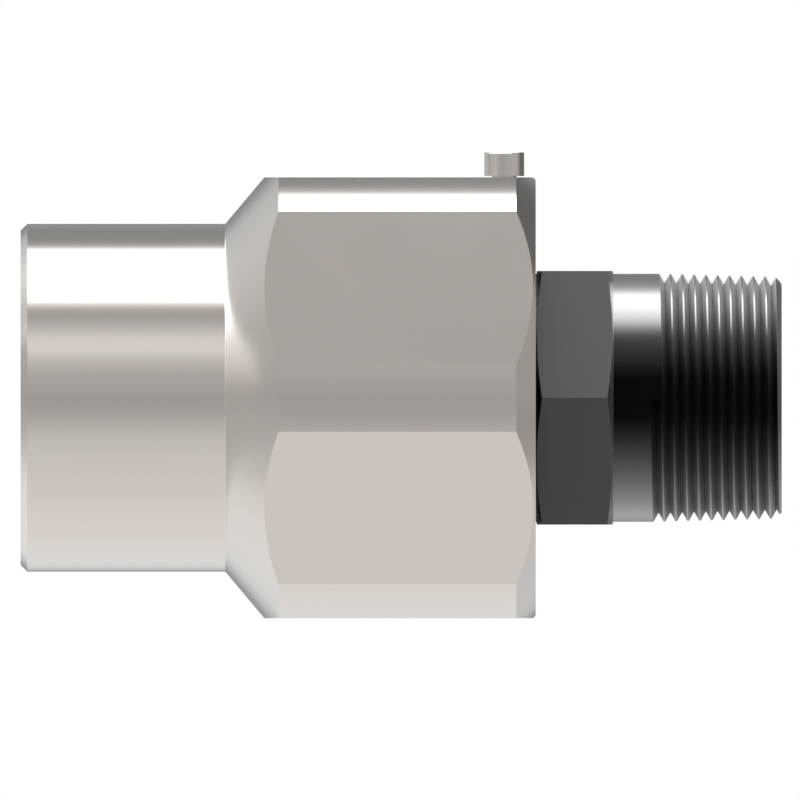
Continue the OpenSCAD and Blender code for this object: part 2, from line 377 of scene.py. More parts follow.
def mesh_object(name: str, verts: np.ndarray, quads: np.ndarray,
                arris: np.ndarray | None = None) -> Object:
    """Closed mesh from vertices and quads, turned outwards, with coincident points merged.

    Args:
        name: Name of the object.
        verts: Vertices in metres.
        quads: Four vertex numbers for each face; repeated ones make a triangle.
        arris: One number for each vertex for the edge wear, or None.

    Returns:
        The object, linked to the scene.
    """
    if signed_volume(verts, quads) < 0:
        quads = quads[:, ::-1]
    mesh = bpy.data.meshes.new(name)
    bm = bmesh.new()
    plain = bpy.data.meshes.new(name + "_raw")
    unique = [tuple(dict.fromkeys(q)) for q in quads.tolist()]
    plain.from_pydata(verts.tolist(), [], [q for q in unique if len(q) > 2])
    if arris is not None:
        layer = plain.attributes.new("arris", "FLOAT", "POINT")
        layer.data.foreach_set("value", arris.astype(np.float32))
    bm.from_mesh(plain)
    bpy.data.meshes.remove(plain)
    bmesh.ops.remove_doubles(bm, verts=bm.verts, dist=MERGE_DIST)
    bmesh.ops.dissolve_degenerate(bm, edges=bm.edges, dist=MERGE_DIST)
    loose = [v for v in bm.verts if not v.link_faces]
    bmesh.ops.delete(bm, geom=loose, context="VERTS")
    bm.to_mesh(mesh)
    bm.free()
    shade(mesh)
    return place(name, mesh)


def shade(mesh: Mesh) -> None:
    """Smooth shading with sharp edges where two faces meet at more than the sharp angle."""
    mesh.shade_smooth()
    mesh.set_sharp_from_angle(angle=SHARP_ANGLE)


def carve(obj: Object, *cutters: Object) -> None:
    """Cuts the cutters out of a closed mesh for good, and removes them."""
    for cutter in cutters:
        cut = obj.modifiers.new("cut", "BOOLEAN")
        cut.operation, cut.solver, cut.object = "DIFFERENCE", "EXACT", cutter
    graph = bpy.context.evaluated_depsgraph_get()
    mesh = bpy.data.meshes.new_from_object(obj.evaluated_get(graph))
    obj.modifiers.clear()
    old, obj.data = obj.data, mesh
    mesh.name = obj.name
    bpy.data.meshes.remove(old)
    for cutter in cutters:
        bpy.data.objects.remove(cutter)
    # A cut can leave two points in one place, so they are merged again.
    bm = bmesh.new()
    bm.from_mesh(mesh)
    bmesh.ops.remove_doubles(bm, verts=bm.verts, dist=MERGE_DIST)
    bm.to_mesh(mesh)
    bm.free()
    shade(mesh)


def open_edges(obj: Object) -> int:
    """Number of edges that don't join exactly two faces."""
    loops = np.empty(len(obj.data.loops), np.int32)
    obj.data.loops.foreach_get("edge_index", loops)
    return int((np.bincount(loops, minlength=len(obj.data.edges)) != 2).sum())


def hexagon_radius(turns: np.ndarray, across_flats: float, corner_r: float) -> np.ndarray:
    """Radius of a hexagon with flats at top and bottom and turned corners.

    Within 30 degrees of a flat's middle the radius is half the width over cos of the angle,
    or the corners' radius where that is less.

    Args:
        turns: The columns' turns in radians.
        across_flats: Width of the hexagon.
        corner_r: Radius to which the corners are turned.

    Returns:
        One radius for each turn.
    """
    sector = np.pi / 3
    off = (turns + sector / 2) % sector - sector / 2
    return np.minimum(across_flats / 2 / np.cos(off), corner_r)


def mark_creases(mesh: Mesh, creases: Iterable[float], least_r: float) -> None:
    """Marks the edges that run along the axis at the given turns as sharp.

    Args:
        mesh: Mesh turned round the swivel axis.
        creases: Turns in degrees.
        least_r: Radius, in millimetres, outside which the edges are marked.
    """
    points = read_vectors(mesh.vertices, "co")
    turn = np.degrees(np.arctan2(-points[:, 1], points[:, 2]))
    off = np.abs((turn[:, None] - np.asarray(list(creases)) + 180) % 360 - 180).min(axis=1)
    on = (off < CREASE_WIDTH) & (axis_distance(points) > least_r * MM)
    ends = np.empty(len(mesh.edges) * 2, np.int32)
    mesh.edges.foreach_get("vertices", ends)
    layer = mesh.attributes.get("sharp_edge") or mesh.attributes.new(
        "sharp_edge", "BOOLEAN", "EDGE")
    sharp = np.empty(len(mesh.edges), bool)
    layer.data.foreach_get("value", sharp)
    layer.data.foreach_set("value", sharp | on[ends.reshape(-1, 2)].all(axis=1))


# ---------------------------------------------------------------- finishes

# The facing between which the painted cool tint fades in from square on to a glance; the tint
# stands in for the cooler light that the metal mirrors from behind.
PAINTED_TINT_FROM, PAINTED_TINT_TO = 0.33, 0.75


class Grain(Enum):
    """Direction of the fine marks that a tool leaves."""

    TURNED = (1.0, 0.02, 0.02)
    UPRIGHT = (0.02, 0.02, 1.0)
    CAST = (1.0, 1.0, 1.0)


def new_group(name: str, inputs: dict[str, float], outputs: Sequence[str]) -> Tree:
    """Shader node group of numbers, with its input and output nodes in place.

    Args:
        name: Name of the group.
        inputs: Name and default of each input.
        outputs: Name of each output.

    Returns:
        The group, without any link.
    """
    group = bpy.data.node_groups.new(name, "ShaderNodeTree")
    for key, value in inputs.items():
        socket = group.interface.new_socket(key, in_out="INPUT", socket_type="NodeSocketFloat")
        socket.default_value = value
    for key in outputs:
        group.interface.new_socket(key, in_out="OUTPUT", socket_type="NodeSocketFloat")
    group.nodes.new("NodeGroupInput")
    group.nodes.new("NodeGroupOutput")
    return group


def feed(node: Node, **values: Socket | float | Sequence[float]) -> Node:
    """Feeds a node's inputs, each named in capitals with _ for a space, and gives the node.

    A socket is linked, and anything else is the input's own value.
    """
    for key, value in values.items():
        if isinstance(value, Socket):
            node.id_data.links.new(value, node.inputs[key.replace("_", " ")])
        else:
            node.inputs[key.replace("_", " ")].default_value = value
    return node


def math_node(tree: Tree, operation: str, *values: Socket | float) -> Socket:
    """Math node whose inputs are numbers or sockets; gives its output."""
    node = tree.nodes.new("ShaderNodeMath")
    node.operation = operation
    for socket, value in zip(node.inputs, values):
        if isinstance(value, Socket):
            tree.links.new(value, socket)
        else:
            socket.default_value = value
    return node.outputs[0]


def noise_node(tree: Tree, vector: Socket, scale: Socket, detail: float) -> Socket:
    """Noise texture in the given coordinates; gives its value."""
    node = tree.nodes.new("ShaderNodeTexNoise")
    return feed(node, Vector=vector, Scale=scale, Detail=detail).outputs[0]


def attribute(tree: Tree, name: str) -> Socket:
    """A number that the mesh holds at every point."""
    node = tree.nodes.new("ShaderNodeAttribute")
    node.attribute_name = name
    return node.outputs["Fac"]


def facing(tree: Tree) -> Socket:
    """How far a face turns away from the eye: 0 square on, 1 at a glance."""
    return feed(tree.nodes.new("ShaderNodeLayerWeight"), Blend=0.5).outputs["Facing"]


def mix_color(tree: Tree, factor: Socket, plain: Socket, other: Color) -> Socket:
    """Mixes a colour with another one, which shows where the factor is 1."""
    mix = tree.nodes.new("ShaderNodeMix")
    mix.data_type = "RGBA"
    return feed(mix, Factor=factor, A=plain, B=(*other, 1)).outputs["Result"]


def new_material(name: str) -> tuple[Material, Node]:
    """New material with a node tree, and its own shader."""
    made = bpy.data.materials.new(name)
    made.use_nodes = True
    return made, made.node_tree.nodes["Principled BSDF"]


@cache
def grain_group(grain: Grain) -> Tree:
    """Group for tool marks: noise in Object coordinates, stretched along the marks.

    Args:
        grain: Direction of the marks.

    Returns:
        Group with the inputs Fineness and Clouding, and the outputs Marks and Clouds, which
        both swing round 0.
    """
    group = new_group("grain_" + grain.name.lower(),
                      {"Fineness": 4000.0, "Clouding": 60.0}, ("Marks", "Clouds"))
    given, result = group.nodes["Group Input"], group.nodes["Group Output"]
    coords = group.nodes.new("ShaderNodeTexCoord").outputs["Object"]
    stretch = feed(group.nodes.new("ShaderNodeMapping"), Vector=coords, Scale=grain.value)
    fine = noise_node(group, stretch.outputs[0], given.outputs["Fineness"], detail=3.0)
    cloud = noise_node(group, coords, given.outputs["Clouding"], detail=2.0)
    feed(result, Marks=math_node(group, "SUBTRACT", fine, 0.5),
         Clouds=math_node(group, "SUBTRACT", cloud, 0.5))
    return group


@cache
def wear_group() -> Tree:
    """Group for worn edges: the mesh's arris attribute, broken up by noise.

    Returns:
        Group with the inputs Amount and Patches, and the output Wear from 0 to 1.
    """
    group = new_group("edge_wear", {"Amount": 0.5, "Patches": 120.0}, ("Wear",))
    given, result = group.nodes["Group Input"], group.nodes["Group Output"]
    coords = group.nodes.new("ShaderNodeTexCoord").outputs["Object"]
    patch = noise_node(group, coords, given.outputs["Patches"], detail=3.0)
    worn = math_node(group, "MULTIPLY", attribute(group, "arris"), patch)
    feed(result, Wear=math_node(group, "MULTIPLY", worn, given.outputs["Amount"]))
    return group


@dataclass(frozen=True)
class Finish:
    """A finish with marks, clouds and worn edges round its plain values.

    Attributes:
        name: Name of the material.
        color: Base colour, linear.
        roughness: Mean roughness.
        metallic: 1 for bare metal.
        grain: Direction of the tool marks.
        fineness: Scale of the marks' noise.
        marks: Swing of the base colour's brightness with the marks.
        clouds: Swing of the roughness with the clouds.
        clouding: Scale of the clouds' noise.
        bump: Height of the marks in metres.
        wear: How far worn edges go towards the worn colour.
        worn: Colour of a worn edge.
        glance: Painted cool tint of the base colour at a glance, which stands in for the
            cooler light mirrored from behind, or None for the same as square on.
        specular: Specular level of the base.
        coat_ior: Index of the glossy skin, or 0 for none.
        coat_roughness: Roughness of the glossy skin.
        skin: Weight of the glossy skin by facing, from 0 square on to 1 at a glance.
    """

    name: str
    color: Color
    roughness: float
    metallic: float = 1.0
    grain: Grain = Grain.TURNED
    fineness: float = 4000.0
    marks: float = 0.03
    clouds: float = 0.03
    clouding: float = 60.0
    bump: float = 0.0
    wear: float = 0.0
    worn: Color = (0.85, 0.84, 0.82)
    glance: Color | None = None
    specular: float = 0.5
    coat_ior: float = 0.0
    coat_roughness: float = 0.25
    skin: Chart = ((0.0, 1.0), (1.0, 1.0))

    @cache
    def material(self) -> Material:
        """Builds the material once.

        The base colour is the plain colour times 1 + marks + clouds, mixed with the worn
        colour by the wear, and, where glance is given, faded to a painted cool tint at a
        glance that stands in for the cooler light mirrored from behind. The roughness is the
        plain one + clouds + marks. A glossy skin is a coat whose weight is read from the skin
        chart by facing, times 1 + marks.

        Returns:
            The material.
        """
        made, shader = new_material(self.name)
        tree = made.node_tree
        marks, wear = (tree.nodes.new("ShaderNodeGroup") for _ in range(2))
        marks.node_tree, wear.node_tree = grain_group(self.grain), wear_group()
        feed(marks, Fineness=self.fineness, Clouding=self.clouding)
        feed(wear, Amount=self.wear)
        fine, cloudy = marks.outputs["Marks"], marks.outputs["Clouds"]
        bright = math_node(tree, "MULTIPLY_ADD", fine, self.marks * 2, 1.0)
        bright = math_node(tree, "MULTIPLY_ADD", cloudy, self.clouds, bright)
        plain = tree.nodes.new("ShaderNodeVectorMath")
        plain.operation = "SCALE"
        feed(plain, Vector=self.color, Scale=bright)
        shown = mix_color(tree, wear.outputs["Wear"], plain.outputs[0], self.worn)
        # Painted cool tint at a glance, standing in for the cooler light that the metal
        # mirrors from behind.
        if self.glance:
            shown = self.paint_cool_glance_tint(tree, shown)
        rough = math_node(tree, "MULTIPLY_ADD", cloudy, self.clouds, self.roughness)
        rough = math_node(tree, "MULTIPLY_ADD", fine, self.marks, rough)
        feed(shader, Metallic=self.metallic, Specular_IOR_Level=self.specular,
             Base_Color=shown, Roughness=rough)
        if self.bump:
            bump = feed(tree.nodes.new("ShaderNodeBump"), Distance=self.bump, Height=fine)
            feed(shader, Normal=bump.outputs[0])
        if self.coat_ior:
            feed(shader, Coat_IOR=self.coat_ior, Coat_Roughness=self.coat_roughness,
                 Coat_Weight=self.skin_weight(tree, fine))
        return made

    def paint_cool_glance_tint(self, tree: Tree, plain: Socket) -> Socket:
        """Mixes the plain colour with a painted cool tint at a glance, by a smooth step of
        facing; the tint stands in for the cooler light mirrored from behind.
        """
        step = tree.nodes.new("ShaderNodeMapRange")
        step.interpolation_type = "SMOOTHSTEP"
        feed(step, Value=facing(tree), From_Min=PAINTED_TINT_FROM, From_Max=PAINTED_TINT_TO)
        return mix_color(tree, step.outputs["Result"], plain, self.glance)

    def skin_weight(self, tree: Tree, fine: Socket) -> Socket:
        """Weight of the glossy skin, from the skin chart and the fine marks."""
        ramp = feed(tree.nodes.new("ShaderNodeValToRGB"), Fac=facing(tree))
        stops = ramp.color_ramp.elements
        for at, _ in self.skin[1:-1]:
            stops.new(at)
        for stop, (_, weight) in zip(stops, self.skin):
            stop.color = (weight, weight, weight, 1)
        uneven = math_node(tree, "MULTIPLY_ADD", fine, self.marks, 1.0)
        weight = math_node(tree, "MULTIPLY", ramp.outputs["Color"], uneven)
        weight.node.use_clamp = True
        return weight


# Housing steel: its glance colour is a painted cool tint that stands in for the cooler light
# mirrored from behind, and the chamfer finish keeps it.
HOUSING_STEEL = Finish("housing_steel_finish", (0.725, 0.689, 0.662), 0.13, fineness=6000.0,
                       marks=0.012, clouds=0.02, clouding=45.0, wear=0.5,
                       glance=(0.695, 0.692, 0.688))
CHAMFER_STEEL = replace(HOUSING_STEEL, name="housing_chamfer_finish", roughness=0.05)
STEM_STEEL = Finish("stem_steel_finish", (0.0018, 0.0018, 0.0018), 0.35, metallic=0.0,
                    fineness=6000.0, marks=0.02, clouds=0.02, wear=0.05,
                    worn=(0.05, 0.05, 0.05), specular=0.03, coat_ior=4.0,
                    coat_roughness=0.27,
                    skin=((0, 0), (0.0125, 0), (0.6375, 1), (1, 1)))
THREAD_STEEL = replace(STEM_STEEL, name="thread_steel_finish", coat_roughness=0.52,
                       skin=((0, 0.4), (0.36, 0.4), (0.485, 0.02), (0.5, 0.02), (0.69, 1),
                             (1, 1)))
FLAT_STEEL = replace(STEM_STEEL, name="stem_flat_finish", coat_roughness=0.34)
# Screw steel: its glance colour is a painted cool tint that stands in for the cooler light
# mirrored from behind.
SCREW_STEEL = Finish("screw_steel_finish", (0.715, 0.688, 0.67), 0.1, grain=Grain.UPRIGHT,
                     fineness=5000.0, marks=0.03, clouds=0.04, clouding=500.0, wear=0.4,
                     glance=(0.69, 0.69, 0.685))
BALL_STEEL = Finish("ball_steel_finish", (0.78, 0.78, 0.79), 0.06, grain=Grain.CAST,
                    fineness=2500.0, marks=0.01, clouds=0.03, clouding=600.0)
SEAL_RUBBER = Finish("seal_rubber_finish", (0.022, 0.022, 0.023), 0.5, metallic=0.0,
                     grain=Grain.CAST, fineness=3000.0, marks=0.12, clouds=0.2,
                     clouding=250.0, bump=2e-5)
BACKUP_PLASTIC = Finish("backup_plastic_finish", (0.8, 0.79, 0.75), 0.45, metallic=0.0,
                        fineness=3500.0, marks=0.05, clouds=0.08,
                        clouding=200.0, bump=1e-5)
GUIDE_PLASTIC = Finish("guide_plastic_finish", (0.36, 0.21, 0.1), 0.5, metallic=0.0,
                       fineness=3500.0, marks=0.1, clouds=0.15,
                       clouding=300.0, bump=1e-5)


def dress(obj: Object, finish: Finish) -> None:
    """Puts a finish on every slot of an object."""
    material = finish.material()
    if not obj.material_slots:
        obj.data.materials.append(material)
    for slot in obj.material_slots:
        slot.material = material


# ---------------------------------------------------------------- housing


@dataclass
class Housing:
    """Housing with its female port, swivel bores and ball race, and what it carries."""

    hub_r: float = 34.0
    hub_len: float = 40.0
    hub_chamfer: float = 1.3
    cone_angle: float = 50.0
    hex_af: float = 86.2
    corner_r: float = 46.4
    length: float = 100.7
    end_chamfer: float = 3.8
    port_r: float = 22.4
    port_depth: float = 26.0
    port_chamfer: float = 1.7
    flow_r: float = 19.05
    shoulder_x: float = 42.0
    nose_bore_r: float = 25.08
    gland_x: float = 47.0
    gland_w: float = 7.578
    gland_r: float = 27.98
    guide_x: float = 57.578
    guide_w: float = 5.8
    guide_r: float = 27.56
    barrel_x: float = 65.178
    barrel_bore_r: float = 28.68
    lead_in: float = 0.5
    bore_ease: float = 0.15
    hub_ease: float = 0.1
    screw_hole_r: float = 2.445
    hole_lead: float = 0.3
    thread_len: float = 24.5
    port_thread: Thread = Thread(
        pitch=2.309, depth=1.48, half_angle=27.5, root_flat=0.25, first_x=0.6,
        grooves=range(-2, 11), start_turn=-3.0, end_turn=9.4, end_ramp=0.8, inside=True)

    def bores(self, turns: np.ndarray) -> list[Rows]:
        """Rows of the inside, from the port's face to the open end."""
        thread = self.port_thread.rows(
            turns, lambda x: np.full_like(x, self.port_r),
            lambda x: self.port_r + self.port_chamfer - x, 0.0, self.thread_len)
        e = self.bore_ease
        corners = [
            Corner(self.thread_len + 0.3, self.port_r),
            Corner(self.port_depth, self.port_r, e),
            Corner(self.port_depth + self.port_r - self.flow_r, self.flow_r, e),
            Corner(self.shoulder_x, self.flow_r, e),
            Corner(self.shoulder_x, self.nose_bore_r, e),
            *groove(self.gland_x, self.gland_w, self.nose_bore_r, self.gland_r, e, e),
            *groove(self.guide_x, self.guide_w, self.nose_bore_r, self.guide_r, e, e),
            Corner(self.barrel_x - self.lead_in, self.nose_bore_r, e / 2),
            Corner(self.barrel_x, self.nose_bore_r + self.lead_in, e / 2),
            Corner(self.barrel_x, self.barrel_bore_r, e),
            *RACE.corners(self.barrel_bore_r),
            Corner(self.length - self.lead_in, self.barrel_bore_r),
        ]
        return [thread, eased_rows(corners, turns.size)]

    def outside(self, turns: np.ndarray) -> Rows:
        """Rows of the outside, from the open end back to the port's face.

        The hexagon's radius at a turn sets where the cone and the end chamfer meet it.
        """
        top = hexagon_radius(turns, self.hex_af, self.corner_r)
        rise = np.tan(np.radians(self.cone_angle))
        end_r = self.corner_r - self.end_chamfer
        return eased_rows([
            Corner(self.length, self.barrel_bore_r + self.lead_in),
            Corner(self.length, end_r),
            Corner(self.length - (top - end_r), top),
            Corner(self.hub_len + (top - self.hub_r) / rise, top),
            Corner(self.hub_len, self.hub_r, self.hub_ease),
            Corner(self.hub_chamfer, self.hub_r),
            Corner(0, self.hub_r - self.hub_chamfer),
            Corner(0, self.port_r + self.port_chamfer),
        ], turns.size)

    def build(self) -> Object:
        """Builds the housing with the hole for its loading screw."""
        crease = np.degrees(np.arccos(self.hex_af / 2 / self.corner_r))
        creases = [60 * k + side * crease for k in range(6) for side in (-1, 1)]
        turns = turn_angles(EVEN_STEPS, creases)
        shell = turned_mesh("housing_shell", turns, [*self.bores(turns), self.outside(turns)],
                            ring=True)
        carve(shell, self.hole_cutter())
        mark_creases(shell.data, creases, self.hub_r + 0.1)
        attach(shell, "housing")
        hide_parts("housing")
        dress(shell, HOUSING_STEEL)
        self.dress_chamfer(shell.data)
        report(shell)
        return shell

    def dress_chamfer(self, mesh: Mesh) -> None:
        """Puts its own, finer finish on the chamfer round the port's face."""
        middle = read_vectors(mesh.polygons, "center") / MM
        on = middle[:, 0] < self.hub_chamfer
        on &= axis_distance(middle) > self.hub_r - self.hub_chamfer
        mesh.materials.append(CHAMFER_STEEL.material())
        mesh.polygons.foreach_set("material_index", on.astype(np.int32))

    def hole_cutter(self) -> Object:
        """Upright cutter for the screw's hole, with a small countersink at the flat."""
        around = np.arange(HOLE_STEPS) * FULL_TURN / HOLE_STEPS
        flat, start = self.hex_af / 2, self.barrel_bore_r - 2
        lead, over = self.hole_lead, 0.1
        wide = self.screw_hole_r + lead + over
        corners = [Corner(start, 0), Corner(start, self.screw_hole_r),
                   Corner(flat - lead, self.screw_hole_r), Corner(flat + over, wide),
                   Corner(flat + 1, wide), Corner(flat + 1, 0)]
        cutter = turned_mesh("hole_cutter", around, [eased_rows(corners, around.size)],
                             ring=False, axis="z")
        shift_mesh(cutter, RACE.x)
        return cutter


def shift_mesh(obj: Object, along_x: float) -> None:
    """Moves a mesh's own points along X, in millimetres."""
    points = read_vectors(obj.data.vertices, "co")
    points[:, 0] += along_x * MM
    obj.data.vertices.foreach_set("co", points.ravel())
    obj.data.update()


def report(obj: Object) -> None:
    """Logs a finished piece."""
    LOG.info("%s: %d faces, %d open edges", obj.name, len(obj.data.polygons), open_edges(obj))


# ---------------------------------------------------------------- loading screw


@dataclass
class LoadingScrew:
    """Socket head screw that closes the hole through which the balls are loaded."""

    x: float = RACE.x
    shank_r: float = 2.415
    head_r: float = 3.89
    tip_z: float = 30.66
    head_z: float = 43.35
    top_z: float = 47.98
    socket_af: float = 3.97
    top_ring_r: float = 2.6
    neck: float = 0.6
    socket_depth: float = 2.4
    socket_lead: float = 0.45
    drill_depth: float = 0.5
    head_round: float = 0.06
    tip_chamfer: float = 0.4
    dip_depth: float = 0.3
    dip_port_side: float = 3.1
    dip_thread_side: float = 1.5
    dip_ramp: float = 0.25
    thread: Thread = Thread(
        pitch=0.794, depth=0.43, half_angle=30.0, root_flat=0.1, first_x=31.0,
        grooves=range(-1, 14), start_turn=-2.0, end_turn=12.6, end_ramp=0.4)

    def build(self) -> Object:
        """Builds the screw: a turned blank with its thread, then socket and dip cut."""
        turns = turn_angles(SCREW_STEPS, ())
        tip_r = self.shank_r - self.tip_chamfer
        tip = eased_rows([Corner(self.tip_z, 0), Corner(self.tip_z, tip_r - 0.05),
                          Corner(self.tip_z, tip_r)], turns.size)
        thread = self.thread.rows(turns, lambda z: np.full_like(z, self.shank_r),
                                  lambda z: tip_r + z - self.tip_z,
                                  self.tip_z, self.head_z - self.neck)
        head = eased_rows([
            Corner(self.head_z - self.neck / 2, self.shank_r),
            Corner(self.head_z, self.shank_r, 0.05),
            Corner(self.head_z, self.head_r),
            Corner(self.top_z, self.head_r, self.head_round),
            Corner(self.top_z, self.top_ring_r),
            Corner(self.top_z, 0),
        ], turns.size, curve=5)
        screw = turned_mesh("loading_screw_body", turns, [tip, thread, head],
                            ring=False, axis="z")
        carve(screw, self.socket_cutter(), self.dip_cutter())
        shift_mesh(screw, self.x)
        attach(screw, "housing")
        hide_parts("loading_screw")
        dress(screw, SCREW_STEEL)
        report(screw)
        return screw

    def socket_cutter(self) -> Object:
        """Upright hexagonal cutter with a lead-in at its mouth and a drill point below."""
        around = np.arange(6) * FULL_TURN / 6
        r = self.socket_af / 2 / np.cos(np.pi / 6)
        floor, lead, over = self.top_z - self.socket_depth, self.socket_lead, 0.4
        corners = [Corner(floor - self.drill_depth, 0), Corner(floor, r * 0.86),
                   Corner(floor, r), Corner(self.top_z - lead, r),
                   Corner(self.top_z + over, r + lead + over), Corner(self.top_z + over, 0)]
        return turned_mesh("socket_cutter", around, [eased_rows(corners, around.size)],
                           ring=False, axis="z")

    def dip_cutter(self) -> Object:
        """Bar that cuts the shallow dip across the head, ramped on the port's side."""
        # The ramp runs on above the head, so that no edge of the bar lies in the head's top.
        floor, above = self.top_z - self.dip_depth, self.top_z + 2 * self.dip_depth
        xz = np.array([[-2 * self.dip_ramp - self.dip_port_side, above],
                       [self.dip_ramp - self.dip_port_side, floor],
                       [self.dip_thread_side, floor], [self.dip_thread_side, above]])
        y = self.head_r + 1
        verts = np.concatenate([
            np.stack([xz[:, 0], np.full(4, side * y), xz[:, 1]], axis=1) for side in (-1, 1)
        ]) * MM
        k = np.arange(4)
        ahead = (k + 1) % 4
        sides = np.stack([k, ahead, ahead + 4, k + 4], axis=1)
        quads = np.concatenate([sides, [[3, 2, 1, 0], [4, 5, 6, 7]]])
        return mesh_object("dip_cutter", verts, quads)


# ---------------------------------------------------------------- stem

# How far the normal of a thread's flank, at least, and of a flat, at most, leans along X.
FLANK_LEAN, FLAT_LEAN = 0.78, 0.2


@dataclass
class Stem:
    """Stem with its nose, barrel, wrench hexagon, shank and taper thread."""

    nose_x: float = 42.5
    nose_r: float = 25.0
    nose_lead_len: float = 3.0
    nose_lead_depth: float = 1.0
    barrel_x: float = 65.678
    barrel_r: float = 28.6
    barrel_end_x: float = 100.4
    guide_x: float = 67.478
    guide_w: float = 9.9
    guide_depth: float = 2.5
    dust_x: float = 97.58
    dust_w: float = 2.31
    dust_depth: float = 1.35
    hex_x: float = 100.8
    hex_len: float = 15.05
    hex_af: float = 49.6
    hex_chamfer_angle: float = 15.0
    shank_r: float = 24.25
    thread_x: float = 124.3
    thread_lead: float = 2.2
    end_x: float = 148.8
    end_land_r: float = 21.4
    end_chamfer: float = 1.2
    taper: float = 0.0275
    flow_r: float = 19.05
    lead_in: float = 0.5
    ease: float = 0.12
    fine_ease: float = 0.05
    start_turn: float = 90.5
    thread: Thread = Thread(
        pitch=2.309, depth=1.745, half_angle=30.0, root_flat=0.0, first_x=125.886,
        grooves=range(-1, 12), start_turn=90.4 / 360 - 1, end_turn=99.0,
        start_ramp=0.2 / 360)

    def crest(self, x: np.ndarray) -> np.ndarray:
        """Radius of the thread's crests: the shank's, less the taper times the distance."""
        return self.shank_r - np.maximum(0, x - self.thread_x) * self.taper

    def build(self) -> Object:
        """Builds the stem as one closed ring of profile rows."""
        creases = [60 * k + 30 for k in range(6)]
        start = [self.start_turn - 0.1, self.start_turn + 0.1]
        turns = turn_angles(EVEN_STEPS, [*creases, *start])
        hex_r = hexagon_radius(turns, self.hex_af, self.hex_af / np.sqrt(3))
        slant = np.tan(np.radians(self.hex_chamfer_angle))
        shank_x = self.hex_x + self.hex_len
        lean = (hex_r - self.shank_r) * slant
        e, fine = self.ease, self.fine_ease
        before = eased_rows([
            Corner(self.nose_x + self.lead_in, self.flow_r),
            Corner(self.nose_x, self.flow_r + self.lead_in, e),
            Corner(self.nose_x, self.nose_r - self.nose_lead_depth, e),
            Corner(self.nose_x + self.nose_lead_len, self.nose_r, e),
            Corner(self.barrel_x, self.nose_r, e),
            Corner(self.barrel_x, self.barrel_r - self.lead_in, e),
            Corner(self.barrel_x + self.lead_in, self.barrel_r, e),
            *groove(self.guide_x, self.guide_w, self.barrel_r,
                    self.barrel_r - self.guide_depth, e, e),
            *RACE.corners(self.barrel_r),
            *groove(self.dust_x, self.dust_w, self.barrel_r,
                    self.barrel_r - self.dust_depth, 0.08, 0.1),
            Corner(self.barrel_end_x - self.lead_in, self.barrel_r, fine),
            Corner(self.barrel_end_x, self.barrel_r - self.lead_in, fine),
            Corner(self.barrel_end_x, self.shank_r, fine),
            Corner(self.hex_x, self.shank_r, fine),
            Corner(self.hex_x + lean, hex_r),
            Corner(shank_x - lean, hex_r),
            Corner(shank_x, self.shank_r, fine),
            Corner(self.thread_x - self.thread_lead, self.shank_r),
        ], turns.size)
        end_r = self.crest(np.array(self.end_x)) - self.end_chamfer
        thread = self.thread.rows(turns, self.crest, lambda x: end_r + self.end_x - x,
                                  self.thread_x - self.thread_lead + 0.1, self.end_x)
        after = eased_rows([
            Corner(self.end_x, self.end_land_r),
            Corner(self.end_x, self.flow_r + self.lead_in, e),
            Corner(self.end_x - self.lead_in, self.flow_r, e),
            Corner(self.nose_x + self.lead_in, self.flow_r),
        ], turns.size)
        # The loop's first point is its last corner too.
        after = Rows(after.xr[:, :-1], after.arris[:-1])
        stem = turned_mesh("stem_body", turns, [before, thread, after], ring=True)
        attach(stem, "stem")
        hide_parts("stem")
        dress(stem, STEM_STEEL)
        self.dress_faces(stem.data)
        report(stem)
        return stem

    def dress_faces(self, mesh: Mesh) -> None:
        """Puts their own finishes on the thread's flanks and the hexagon's flats.

        A flank leans along the axis, and a flat doesn't.
        """
        middle = read_vectors(mesh.polygons, "center") / MM
        lean = np.abs(read_vectors(mesh.polygons, "normal")[:, 0])
        x, r = middle[:, 0], axis_distance(middle)
        flank = (lean > FLANK_LEAN) & (r > self.flow_r + 1)
        flank &= (x > self.thread_x - self.thread_lead) & (x < self.end_x - 0.01)
        flat = (lean < FLAT_LEAN) & (r > self.shank_r + 0.1)
        flat &= (x > self.hex_x) & (x < self.hex_x + self.hex_len)
        for finish in (THREAD_STEEL, FLAT_STEEL):
            mesh.materials.append(finish.material())
        mesh.polygons.foreach_set("material_index", (flank + 2 * flat).astype(np.int32))


# ---------------------------------------------------------------- studio


def read_chart(chart: Chart, at: np.ndarray) -> np.ndarray:
    """Reads a chart of places and values, straight between its points."""
    return np.interp(at, *np.array(chart).T)


def soft_step(t: np.ndarray, low: float, high: float) -> np.ndarray:
    """Smooth step from 0 at low to 1 at high: 3s squared less 2s cubed between them."""
    s = np.clip((t - low) / (high - low), 0, 1)
    return s * s * (3 - 2 * s)


def mix_surface(material: Material, factor: Socket, plain: Socket, other: Socket) -> None:
    """Gives a material one shader where the factor is 0 and the other where it is 1."""
    tree = material.node_tree
    mix = tree.nodes.new("ShaderNodeMixShader")
    for source, target in zip((factor, plain, other), mix.inputs):
        tree.links.new(source, target)
    tree.links.new(mix.outputs[0], tree.nodes["Material Output"].inputs["Surface"])
    material.cycles.emission_sampling = "NONE"


def clear_surface(tree: Tree) -> Socket:
    """A shader that every ray goes straight through."""
    return tree.nodes.new("ShaderNodeBsdfTransparent").outputs[0]


def glossy_ray(tree: Tree) -> Socket:
    """1 for a ray that a glossy surface mirrors, and 0 for any other."""
    return tree.nodes.new("ShaderNodeLightPath").outputs["Is Glossy Ray"]


